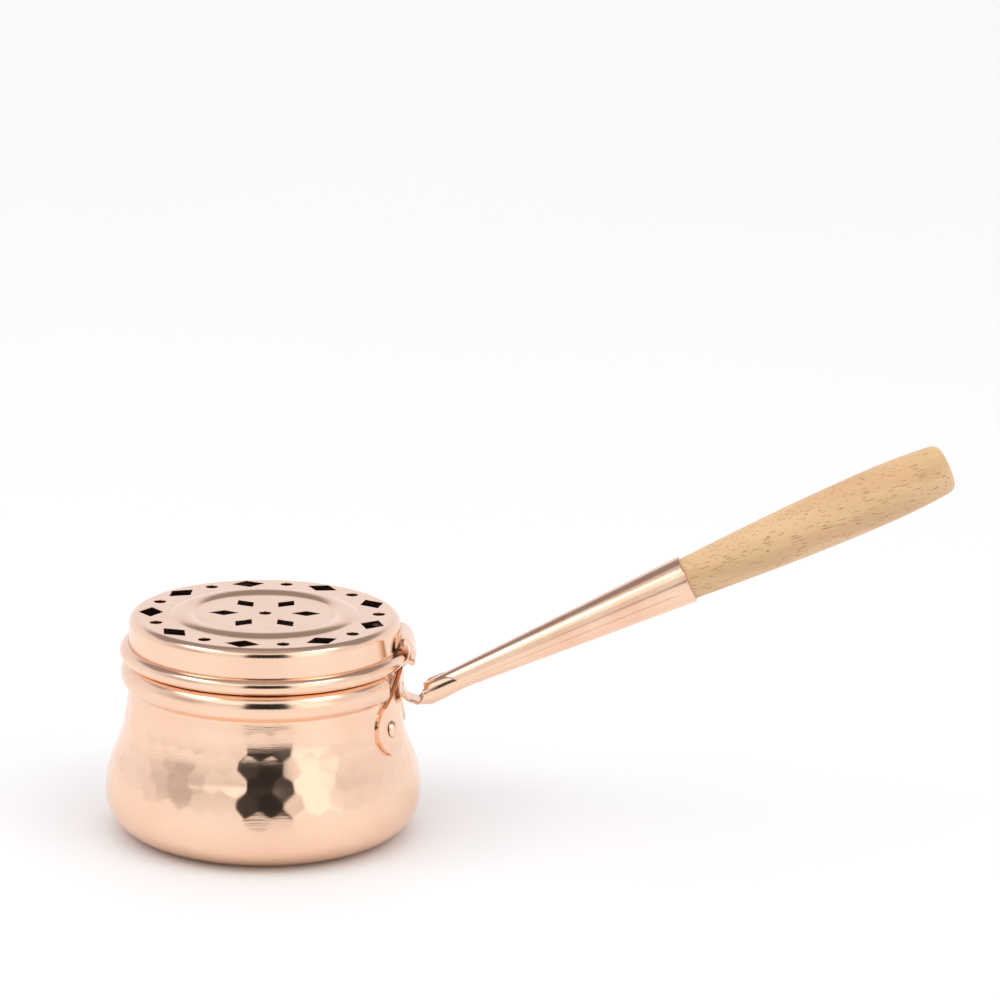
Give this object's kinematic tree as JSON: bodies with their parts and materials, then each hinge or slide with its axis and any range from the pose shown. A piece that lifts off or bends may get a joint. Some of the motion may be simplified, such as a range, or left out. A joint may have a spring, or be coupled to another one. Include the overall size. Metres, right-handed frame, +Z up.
{
  "type": "hand-held smoke burner",
  "caption": "Hand-held copper smoke burner: bellied hammered pot, pierced lid hinged at the handle strap, conical socket and turned wooden grip.",
  "frame": {"origin": "centre of the pot's flat resting face", "axes": "+X along the handle, +Z up, out of the pot's mouth; the lid's hinge pin lies along Y"},
  "size_m": [0.2647, 0.1, 0.129],
  "materials": {
    "hammered_copper": "hammered and polished",
    "polished_copper": "mirror polished",
    "tinned_copper": "wiped tin, smoke-stained",
    "iron_wire": "plain",
    "turned_beech": "oiled"
  },
  "bodies": {
    "burner": {"pot_body": "hammered_copper", "pot_rim_wire": "iron_wire", "ember_grate": "tinned_copper", "grate_feet": "tinned_copper", "hinge_pin": "iron_wire", "handle_strap": "polished_copper", "strap_rivet_front": "polished_copper", "strap_rivet_rear": "polished_copper", "rivet_burr_front": "polished_copper", "rivet_burr_rear": "polished_copper", "handle_socket": "polished_copper", "wooden_grip": "turned_beech", "grip_nail": "iron_wire"},
    "lid": {"lid_cap": "polished_copper", "lid_rim_wire": "iron_wire", "lid_collar": "tinned_copper", "lid_tongue": "polished_copper", "tongue_rivets": "polished_copper"}
  },
  "joints": [
    {"name": "lid_hinge", "type": "hinge", "parent": "burner", "child": "lid", "pos_m": [0.04657, 0, 0.05685], "axis": [0, 1, 0], "range_deg": [0, 110]}
  ]
}
